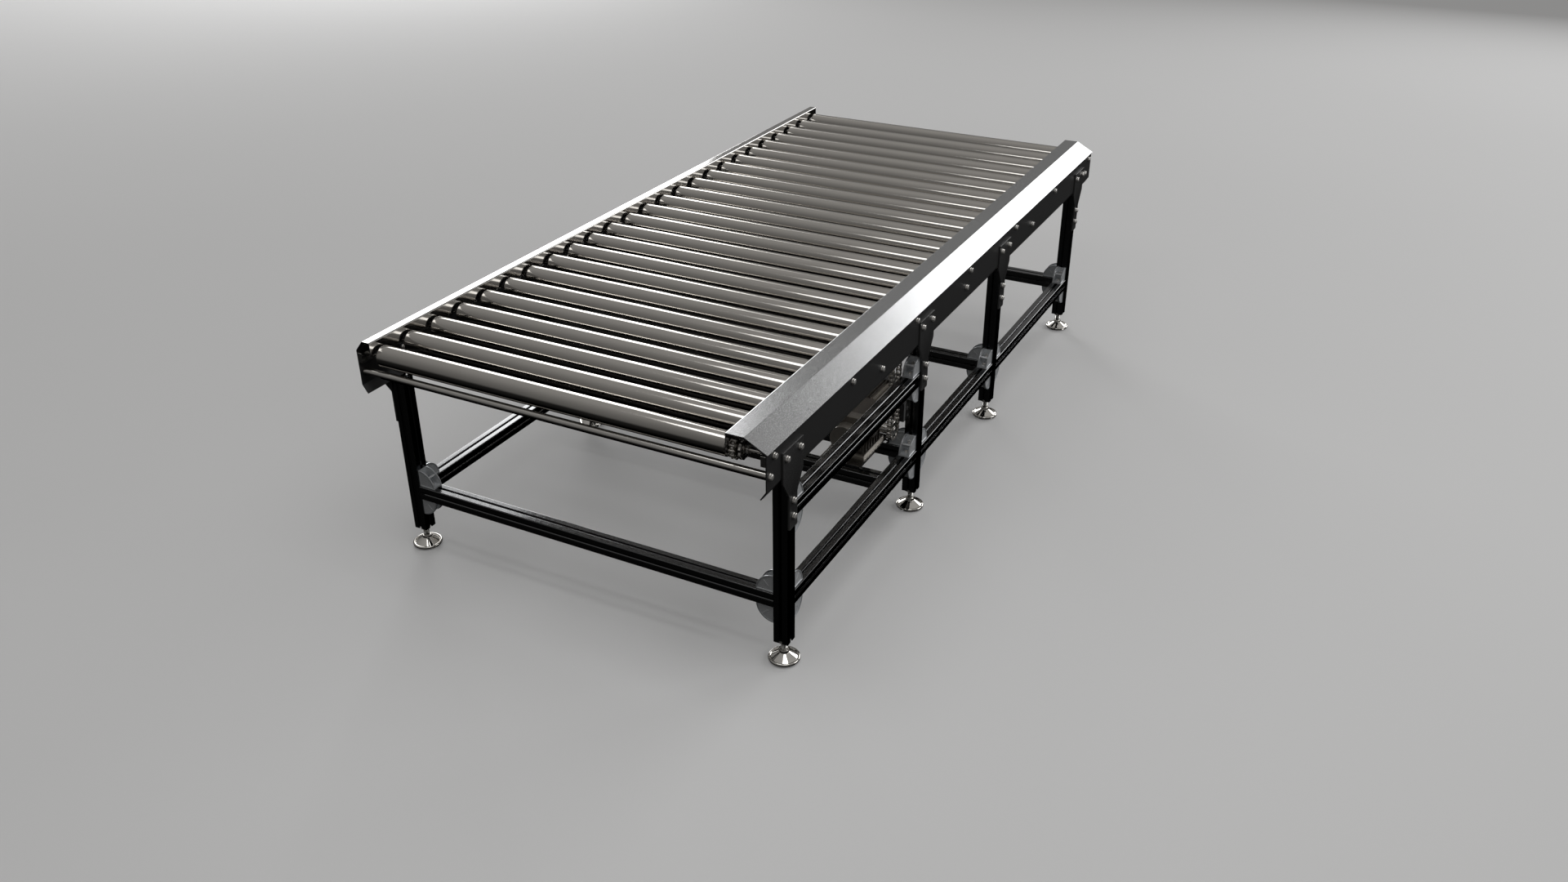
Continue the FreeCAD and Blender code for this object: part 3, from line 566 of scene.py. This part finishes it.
def make_drive_sprocket():
    """Gearbox output shaft with the hub and wheel on it."""
    row = ROW_Y[2]
    start, end = row - 0.008, -0.361
    shaft_r, bore, ease = 0.010, 0.0101, 0.0008
    hub_start, hub_end = 0.002, 0.042
    place = aim(Vector((SHAFT_X, start, SHAFT_Z)), Y)
    bm = bmesh.new()
    add_lathe(bm, [(0, 0), (shaft_r - ease, 0), (shaft_r, ease), (shaft_r, end - start),
                   (0, end - start)], place)
    add_lathe(bm, [(bore, hub_start), (HUB_R - ease, hub_start), (HUB_R, hub_start + ease),
                   (HUB_R, hub_end - ease), (HUB_R - ease, hub_end), (bore, hub_end)],
              place, closed=True)
    add_sprocket(bm, row, 0, SHAFT_X, SHAFT_Z)
    piece("output_shaft_and_sprocket", make_mesh("drive_sprocket", bm, [SPROCKET]),
          "output_shaft", ["drive_sprocket"])


# ------------------------------------------------------------------ rollers, axles, tie bars
def roller_mesh(rows):
    """One roller about its own axis: steel tube, black idle cap with a steel ring, drive hub
    and sprockets."""
    low, high = TUBE_Y
    wall, lip, bead_r, bead_y = 0.0022, 0.0016, 0.0005, 0.0004
    cap, cap_depth, ease = ROLLER_R - wall - 0.0001, 0.020, 0.001
    bore, hub_ease = AXLE_R + 0.0002, 0.0008
    dish_y, boss_y, ring_y = high - 0.003, high + 0.0018, high + 0.0058
    axis = aim(Vector((0, 0, 0)), Y)
    bm = bmesh.new()
    add_lathe(bm, [(ROLLER_R - wall, low), (ROLLER_R - lip, low), (ROLLER_R - bead_r, low + bead_y),
                   (ROLLER_R, low + lip), (ROLLER_R, high - lip),
                   (ROLLER_R - bead_r, high - bead_y), (ROLLER_R - lip, high),
                   (ROLLER_R - wall, high)], axis, 0, closed=True, facets=96)
    add_lathe(bm, [(bore, high - cap_depth), (cap, high - cap_depth), (cap, high - ease),
                   (cap - ease, high), (0.021, high), (0.020, dish_y), (0.0165, dish_y),
                   (0.0155, boss_y), (bore, boss_y)], axis, 1, closed=True)
    add_lathe(bm, [(bore, boss_y), (0.0145, boss_y), (0.0145, ring_y - hub_ease),
                   (0.0137, ring_y), (bore, ring_y)], axis, 2, closed=True)
    hub_end = rows[-1] - 0.006
    add_lathe(bm, [(bore, hub_end), (HUB_R - hub_ease, hub_end), (HUB_R, hub_end + hub_ease),
                   (HUB_R, low - 2 * ease), (cap - ease, low - 2 * ease), (cap, low - ease),
                   (cap, low + cap_depth), (bore, low + cap_depth)], axis, 3, closed=True)
    for y in rows:
        add_sprocket(bm, y, 3)
    return make_mesh("roller", bm, [STEEL, CAP_BLACK, CAP_STEEL, SPROCKET])


def make_rollers():
    plain = roller_mesh(ROW_Y[:2])
    driven = roller_mesh(ROW_Y)
    for index, x in enumerate(ROLLER_X):
        name = "roller_%02d" % (index + 1)
        mesh = driven if index == DRIVEN_ROLLER else plain
        piece(name + "_turned", mesh, name, [name], (x, 0, AXIS_Z))


def make_round_bars():
    """Fixed axles, and the tie bars under them, as drawn bars with eased ends."""
    half, ease = WEB_Y - SHEET, 0.0008
    for name, places, z, radius, finish in (
            ("roller_axles", ROLLER_X, AXIS_Z, AXLE_R, "axle_steel"),
            ("tie_bars", TIE_X, TIE_Z, TIE_R, "tie_steel")):
        bm = bmesh.new()
        for x in places:
            add_lathe(bm, [(0, -half), (radius - ease, -half), (radius, ease - half),
                           (radius, half - ease), (radius - ease, half), (0, half)],
                      aim(Vector((x, 0, z)), Y), facets=48)
        piece(name + "_drawn", make_mesh(name, bm, [BAR_STEEL]), "frame", [name])


def make_axle_nuts():
    """Lock nuts outside the last sprocket of every roller."""
    gap, flats, height = 0.007, 0.019, 0.007
    bm = bmesh.new()
    for index, x in enumerate(ROLLER_X):
        row = ROW_Y[2] if index == DRIVEN_ROLLER else ROW_Y[1]
        add_nut(bm, Vector((x, row - gap, AXIS_Z)), Y * -1, flats, height, AXLE_R)
    piece("axle_nuts_chamfered", make_mesh("axle_nuts", bm, [ZINC]), "frame", ["axle_nuts"])


# ------------------------------------------------------------------ rails, guard and plates
def sheet_outline(path, thickness, bend=0.004):
    """Outline of a folded sheet: path, thickened to its left, with round bends."""
    left = []
    for i, point in enumerate(path):
        here = Vector(point)
        before = (here - Vector(path[i - 1])).normalized() if i else None
        after = (Vector(path[i + 1]) - here).normalized() if i < len(path) - 1 else None
        before = before or after
        after = after or before
        side = Vector((-before.y, before.x)) + Vector((-after.y, after.x))
        left.append(here + side * (thickness / (1 + before.dot(after))))

    def curve(points, radius):
        bends = [Vector(points[0])]
        for corner in zip(points, points[1:], points[2:]):
            bends += corner_curve(*corner, radius, 5)
        return bends + [Vector(points[-1])]

    return curve(path, bend) + curve(left, bend * 0.6)[::-1]


def extrude_along_bed(bm, outline):
    """Runs a (y, z) outline from one end of the bed to the other."""
    place = aim(Vector((-BED_HALF, 0, 0)), X, Y)
    add_prism(bm, ccw(outline), 2 * BED_HALF, END_CHAMFER, place)


def make_rails():
    """Folded side rails; the idle one is bright on its top and black on its web."""
    idle = [IDLE_WALL, (IDLE_WALL[0], IDLE_EDGE[1]), IDLE_EDGE, (WEB_Y, IDLE_SHOULDER_Z),
            (WEB_Y, WEB_BOTTOM_Z), LIP_END]
    bm = bmesh.new()
    extrude_along_bed(bm, sheet_outline(idle[::-1], SHEET))
    for face in bm.faces:
        centre = face.calc_center_median()
        bright = centre.z > IDLE_SHOULDER_Z - 0.001 or abs(centre.y) < RAIL_FLANGE_Y
        face.material_index = 0 if bright else 1
    piece("idle_side_rail_folded", make_mesh("idle_side_rail", bm, [IDLE_TOP, RAIL_BLACK]),
          "frame", ["idle_side_rail"])

    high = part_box("drive_side_rail")[1]
    slope = (GUARD_RIDGE[1] - GUARD_EDGE[1]) / (GUARD_EDGE[0] - GUARD_RIDGE[0])
    crest = high.z - (WEB_Y - RAIL_FLANGE_Y) * slope
    drive = [(-LIP_END[0], LIP_END[1]), (-WEB_Y, WEB_BOTTOM_Z), (-WEB_Y, crest),
             (-RAIL_FLANGE_Y, high.z)]
    bm = bmesh.new()
    extrude_along_bed(bm, sheet_outline(drive[::-1], SHEET))
    piece("drive_side_rail_folded", make_mesh("drive_side_rail", bm, [RAIL_BLACK]), "frame",
          ["drive_side_rail"])


def make_guard():
    """Folded cover over the chains; its inner wall has an arch over every roller hub."""
    wall_y, wall_end = GUARD_WALL
    joint, overlap, steps = 0.645, 0.0002, 12
    top = [(-GUARD_EDGE[0], GUARD_EDGE[1]), (-GUARD_RIDGE[0], GUARD_RIDGE[1]),
           (-wall_y, GUARD_RIDGE[1]), (-wall_y, joint)]
    bm = bmesh.new()
    extrude_along_bed(bm, sheet_outline(top[::-1], GUARD_SHEET, 0.003))
    wall = [Vector((-BED_HALF, joint + overlap)), Vector((-BED_HALF, wall_end))]
    half = math.asin((AXIS_Z - wall_end) / ARCH_R)
    for x in ROLLER_X:
        for k in range(steps + 1):
            turn = math.pi + half - (math.pi + 2 * half) * k / steps
            wall.append(Vector((x, AXIS_Z)) + polar(ARCH_R, turn))
    wall += [Vector((BED_HALF, wall_end)), Vector((BED_HALF, joint + overlap))]
    add_prism(bm, ccw(wall), GUARD_SHEET, 0.0, upright(0, -wall_y, -1))
    piece("chain_guard_folded", make_mesh("chain_guard", bm, [GUARD]), "frame",
          ["chain_guard"])


def make_axle_bars():
    """Bars inside the webs that carry the axle ends."""
    bm = bmesh.new()
    for y in (SHEET - WEB_Y, WEB_Y - SHEET - AXLE_BAR_T):
        add_box(bm, (-BED_HALF, y, AXLE_BAR_Z[0]), (BED_HALF, y + AXLE_BAR_T, AXLE_BAR_Z[1]),
                0.0006)
    piece("axle_bars_drawn", make_mesh("axle_bars", bm, [PLATE]), "frame", ["axle_bars"])


def make_brackets():
    """Tapered plates between the webs and the legs."""
    narrow, wide = 0.020, 0.050
    foot, taper, shoulder, top = 0.389, 0.478, 0.528, 0.608
    outline = [(-wide, shoulder), (-narrow, taper), (-narrow, foot), (narrow, foot),
               (narrow, taper), (wide, shoulder), (wide, top), (-wide, top)]
    bm = bmesh.new()
    for x in LEG_X:
        for start in (-WEB_Y - PLATE_T, WEB_Y):
            add_prism(bm, rounded(outline, 0.003), PLATE_T, 0.0005, upright(x, start, 1))
    piece("leg_brackets_bevelled", make_mesh("leg_brackets", bm, [BRACKET_BLACK]), "frame",
          ["leg_brackets"])


# ------------------------------------------------------------------ T-slot stand
def profile_outline():
    """T-slot section with sharp corners, counter-clockwise."""
    half, gap, lip, wide, floor, corner = PROFILE / 2, 0.0041, 0.016, 0.0085, 0.011, 0.003
    face = half - 0.0001
    side = [(face, gap), (lip, gap), (lip, wide), (floor + corner, wide), (floor, wide - corner),
            (floor, corner - wide), (floor + corner, -wide), (lip, -wide), (lip, -gap),
            (face, -gap)]
    points = []
    for k in range(4):
        turn = Matrix.Rotation(math.pi / 2 * k, 2)
        points += [turn @ Vector(p) for p in side[::-1]]
        points.append(turn @ Vector((half, half)))
    return points


def shaped_profile():
    """The same section with its outer corners rounded and all others eased."""
    outline = profile_outline()
    result = []
    for i, here in enumerate(outline):
        outer = min(abs(here.x), abs(here.y)) > PROFILE / 2 - 1e-6
        radius, steps = (0.0028, 4) if outer else (0.0011, 2)
        after = outline[(i + 1) % len(outline)]
        result += corner_curve(outline[i - 1], here, after, radius, steps)
    return ccw(result)


def make_profiles():
    """Legs, cross profiles and stringers, all cut from one section."""
    section = shaped_profile()
    inner, half = LEG_Y - PROFILE / 2, PROFILE / 2
    legs, cross, lower, upper = bmesh.new(), bmesh.new(), bmesh.new(), bmesh.new()

    def add_length(bm, length, place):
        add_prism(bm, section, length, END_CHAMFER, place)

    for x in LEG_X:
        for side in (-1, 1):
            foot = Vector((x, side * LEG_Y, LEG_Z[0]))
            add_length(legs, LEG_Z[1] - LEG_Z[0], Matrix.Translation(foot))
    for x in LEG_X + [MOTOR_CROSS_X]:
        add_length(cross, 2 * inner, aim(Vector((x, -inner, LOWER_Z)), Y, X))
    for x0, x1 in zip(LEG_X, LEG_X[1:]):
        for side in (-1, 1):
            start = Vector((x0 + half, side * LEG_Y, LOWER_Z))
            add_length(lower, x1 - x0 - PROFILE, aim(start, X, Y))
    start = Vector((LEG_X[0] + half, -LEG_Y, UPPER_Z))
    add_length(upper, LEG_X[1] - LEG_X[0] - PROFILE, aim(start, X, Y))
    for name, bm, material in (("legs", legs, LEG_BLACK), ("cross_profiles", cross, PROFILE_BLACK),
                               ("lower_stringers", lower, PROFILE_BLACK),
                               ("upper_stringer", upper, PROFILE_BLACK)):
        piece(name + "_extruded", make_mesh(name, bm, [material], 30), "frame", [name])


def gusset_places():
    """Corner point and arm directions of every gusset."""
    inner = LEG_Y - PROFILE / 2
    half = PROFILE / 2
    places = []
    for index, x in enumerate(LEG_X):
        for side in (-1, 1):
            for up in (-Z, Z):
                level = LOWER_Z + up.z * half
                places.append((Vector((x, side * inner, level)), Y * -side, up))
                for step in (-1, 1):
                    if 0 <= index + step < len(LEG_X):
                        end = Vector((x + step * half, side * LEG_Y, level))
                        places.append((end, X * step, up))
    for x, step in ((LEG_X[0], 1), (LEG_X[1], -1)):
        for up in (-Z, Z):
            level = UPPER_Z + up.z * half
            places.append((Vector((x + step * half, -LEG_Y, level)), X * step, up))
    return places


def quarter(radius, steps=14):
    """A quarter of a disc, from its centre."""
    return [Vector((0.0, 0.0))] + [polar(radius, math.pi / 2 * k / steps)
                                   for k in range(steps + 1)]


def add_gusset(bm, corner, u, v):
    """Cast corner: two pads, two quarter-round cheeks with raised rims, and a middle rib."""
    size, width, pad, cheek = 0.048, 0.032, 0.005, 0.004
    rim, recess, ease, arm = 0.0035, 0.0012, 0.0005, size * 0.985
    matrix = Matrix((u, v, u.cross(v))).transposed().to_4x4()
    matrix.translation = corner

    def across(offset):
        return matrix @ Matrix.Translation((0, 0, offset))

    arc = quarter(size)[1:]
    rims = (arc + [p * ((size - rim) / size) for p in reversed(arc)],
            rectangle(0, 0, size - rim, rim), rectangle(0, rim, rim, size - rim))
    for side in (-1, 1):
        outer = side * width / 2
        sunk = min(outer - side * recess, outer - side * cheek)
        add_prism(bm, quarter(size - ease), cheek - recess, 0.0, across(sunk))
        for outline in rims:
            add_prism(bm, outline, cheek, ease, across(min(outer, outer - side * cheek)))
    rib = [(0.014, 0.0175), (0.0175, 0.014), (0.034, 0.0305), (0.0305, 0.034)]
    rib_half = width / 2 - recess + 0.0006
    add_prism(bm, rib, 2 * rib_half, END_CHAMFER, across(-rib_half))
    gap = width / 2 - cheek
    for outline in (rectangle(0, 0, arm, pad), rectangle(0, pad, pad, arm)):
        add_prism(bm, outline, 2 * gap, 0.0, across(-gap))


def add_gusset_screws(bm, corner, u, v):
    """A socket screw through each pad."""
    out, pad, reach = 0.027, 0.005, 0.013
    head_r, head_h, socket_r, socket_z = 0.0065, 0.004, 0.0033, 0.0015
    for arm, up in ((u, v), (v, u)):
        place = aim(corner + arm * out + up * pad, up)
        add_lathe(bm, [(0, 0), (head_r - 0.0003, 0), (head_r, 0.0004), (head_r, head_h - 0.001),
                       (head_r - 0.0007, head_h), (socket_r, head_h), (socket_r, socket_z),
                       (0, socket_z)], place, facets=24)
        add_shank(bm, place, reach)


def make_gussets():
    """Cast corners at the profile joints, with their screws."""
    bodies, screws = bmesh.new(), bmesh.new()
    for corner, u, v in gusset_places():
        add_gusset(bodies, corner, u, v)
        add_gusset_screws(screws, corner, u, v)
    piece("corner_gussets_cast", make_mesh("corner_gussets", bodies, [CAST]), "frame",
          ["corner_gussets"])
    piece("gusset_screws_threaded", make_mesh("gusset_screws", screws, [ZINC]), "frame",
          ["gusset_screws"])


# ------------------------------------------------------------------ levelling feet
def foot_mesh():
    """Rubber sole, chrome base with a rolled rim and a cone, and a threaded stem."""
    bm = bmesh.new()
    add_lathe(bm, [(0, 0), (0.0355, 0), (0.037, 0.001), (0.037, 0.0031), (0, 0.0031)], slot=2)
    rim_r, rim_z, roll = 0.0362, 0.0072, 0.0038
    profile = [(0, 0.003), (0.0385, 0.003)]
    for k in range(9):
        turn = math.radians(-60 + 170 * k / 8)
        profile.append((rim_r + roll * math.cos(turn), rim_z + roll * math.sin(turn)))
    profile += [(0.0345, 0.0104), (0.0330, 0.0092), (0.0130, 0.0228), (0.0124, 0.0240),
                (0.0120, 0.0290), (0.0112, 0.0300), (0.0085, 0.0300), (0.0085, 0.0150),
                (0, 0.0150)]
    add_lathe(bm, profile, slot=0, facets=96)
    radius, pitch, low, thread_low, high = 0.008, 0.002, 0.0152, 0.037, 0.100
    thread = [(0, low), (radius, low), (radius, 0.036)]
    for k in range(int((high - 0.038) / pitch)):
        z = thread_low + k * pitch
        thread += [(radius - 0.0011, z), (radius, z + pitch * 0.5)]
    thread += [(radius - 0.001, high), (0, high)]
    add_lathe(bm, thread, slot=1, facets=32)
    return make_mesh("levelling_foot", bm, [CHROME, STEM, RUBBER])


def make_feet():
    """Eight levelling feet, each on its own body, and the lock nuts under the legs."""
    nut_flats, nut_h, nut_bore = 0.024, 0.008, 0.0081
    mesh = foot_mesh()
    nuts = bmesh.new()
    for side, name in ((-1, "drive"), (1, "idle")):
        for number, x in enumerate(LEG_X, 1):
            node = "levelling_foot_%s_%d" % (name, number)
            piece(node + "_turned", mesh, node, [node], (x, side * LEG_Y, 0))
            top = Vector((x, side * LEG_Y, LEG_Z[0]))
            add_nut(nuts, top, Z * -1, nut_flats, nut_h, nut_bore)
    piece("foot_lock_nuts_chamfered", make_mesh("foot_lock_nuts", nuts, [ZINC]), "frame",
          ["foot_lock_nuts"])


# ------------------------------------------------------------------ gearmotor, in its CAD shapes
def finish_cad_nodes():
    """Gives the CAD shapes of the gearmotor their finishes."""
    for node, material in (("motor_base_plate", PLATE), ("gearbox_housing", GEARBOX),
                           ("motor_housing", MOTOR), ("fan_cowl", BOX_BLACK),
                           ("motor_rotor", BAR_STEEL), ("terminal_box", BOX_BLACK)):
        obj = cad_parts[node]
        obj.data.materials.clear()
        obj.data.materials.append(material)


# ------------------------------------------------------------------ floor, light and camera
def make_floor():
    """Pale matt floor just under the feet, out of sight of reflections."""
    radius, top, bottom = 70, -0.001, -0.05
    material, tree, shader = new_material("pale_floor")
    broad = noise(tree, 0.35, detail=2.0)
    colour = tint(tree, broad, (0.56, 0.56, 0.56), (0.59, 0.59, 0.59))
    tree.links.new(colour, shader.inputs["Base Color"])
    shader.inputs["Roughness"].default_value = 0.5
    shader.inputs["Specular IOR Level"].default_value = 0.0
    shader.inputs["Emission Color"].default_value = (1, 1, 1, 1)
    shader.inputs["Emission Strength"].default_value = 0.095
    bm = bmesh.new()
    add_lathe(bm, [(0, top), (radius, top), (radius, bottom), (0, bottom)], facets=96)
    floor = bpy.data.objects.new("floor", make_mesh("floor", bm, [material]))
    bpy.context.scene.collection.objects.link(floor)
    floor.visible_glossy = False
    floor.visible_diffuse = False


def make_world():
    """Grey studio dome: brighter overhead and beyond the far end, dim below the horizon."""
    base, overhead, beyond, below = 0.13, 0.22, 0.14, 0.15
    world = bpy.data.worlds.new("studio")
    bpy.context.scene.world = world
    world.use_nodes = True
    tree = world.node_tree
    back = tree.nodes["Background"]
    coords = tree.nodes.new("ShaderNodeTexCoord")
    parts = tree.nodes.new("ShaderNodeSeparateXYZ")
    tree.links.new(coords.outputs["Generated"], parts.inputs["Vector"])

    def math_node(operation, first, second):
        node = tree.nodes.new("ShaderNodeMath")
        node.operation = operation
        for socket, value in zip(node.inputs, (first, second)):
            if isinstance(value, float):
                socket.default_value = value
            else:
                tree.links.new(value, socket)
        return node.outputs[0]

    x, z = parts.outputs["X"], parts.outputs["Z"]
    rise = math_node("MULTIPLY", z, overhead)
    ahead = math_node("MULTIPLY", math_node("MULTIPLY", x, z), beyond)
    glow = math_node("ADD", math_node("ADD", rise, ahead), base)
    level = math_node("MULTIPLY", spread(tree, z, below, 1.0, (-0.25, 0.0)), glow)
    back.inputs["Color"].default_value = (1.0, 0.985, 0.965, 1)
    tree.links.new(level, back.inputs["Strength"])


def add_panel(name, centre, width, height, radiance, target, shape="RECTANGLE"):
    """Soft light panel facing the target."""
    data = bpy.data.lights.new(name, "AREA")
    data.shape = shape
    data.size = width
    data.size_y = height
    data.energy = radiance * math.pi * width * height
    lamp = bpy.data.objects.new(name, data)
    bpy.context.scene.collection.objects.link(lamp)
    out = (Vector(centre) - target).normalized()
    right = Z.cross(out).normalized() if abs(out.z) < 0.99 else X
    rotation = Matrix((right, out.cross(right), out)).transposed().to_4x4()
    lamp.matrix_world = Matrix.Translation(centre) @ rotation
    lamp.visible_camera = False


def make_lights():
    """Upright panels beyond the far end, a round one over the near end, and a drive-side fill."""
    wall_x = 8.5
    for name, y, z, width, height, radiance in (("side_panel", 8.7, 3.6, 6.6, 7.2, 5.0),
                                                ("side_panel_upper", 8.7, 8.6, 6.6, 2.8, 0.9),
                                                ("end_panel", -3.75, 3.95, 6.5, 3.9, 3.5)):
        centre = Vector((wall_x, y, z))
        add_panel(name, centre, width, height, radiance, centre - X)
    centre = Vector((-1.40, -0.45, 2.55))
    add_panel("overhead_panel", centre, 1.2, 2.4, 1.8, centre - Z, "ELLIPSE")
    centre = Vector((1.6, -5.8, 2.6))
    add_panel("drive_side_fill", centre, 3.5, 3.0, 2.2, Vector((0, -0.5, 0.4)))


def make_camera():
    """Camera at the near end, on the drive side, looking down along the bed."""
    place = (-3.397, -1.737, 2.022)
    bearing, dip, roll = math.radians(27.457), math.radians(28.988), math.radians(-0.14)
    data = bpy.data.cameras.new("camera")
    data.sensor_width = 36.0
    data.lens = 30.03
    data.clip_end = 200
    camera = bpy.data.objects.new("camera", data)
    bpy.context.scene.collection.objects.link(camera)
    level = math.cos(dip)
    forward = Vector((level * math.cos(bearing), level * math.sin(bearing), -math.sin(dip)))
    right = forward.cross(Z).normalized()
    up = right.cross(forward)
    rotation = Matrix((right, up, -forward)).transposed() @ Matrix.Rotation(roll, 3, "Z")
    camera.matrix_world = Matrix.Translation(place) @ rotation.to_4x4()
    bpy.context.scene.camera = camera


make_rollers()
make_round_bars()
make_axle_nuts()
make_chains()
make_drive_sprocket()
make_end_bolts()
make_bracket_bolts()
make_rails()
make_guard()
make_axle_bars()
make_brackets()
make_profiles()
make_gussets()
make_feet()
finish_cad_nodes()
make_floor()
make_world()
make_lights()
make_camera()
bpy.context.scene.view_settings.view_transform = "Standard"
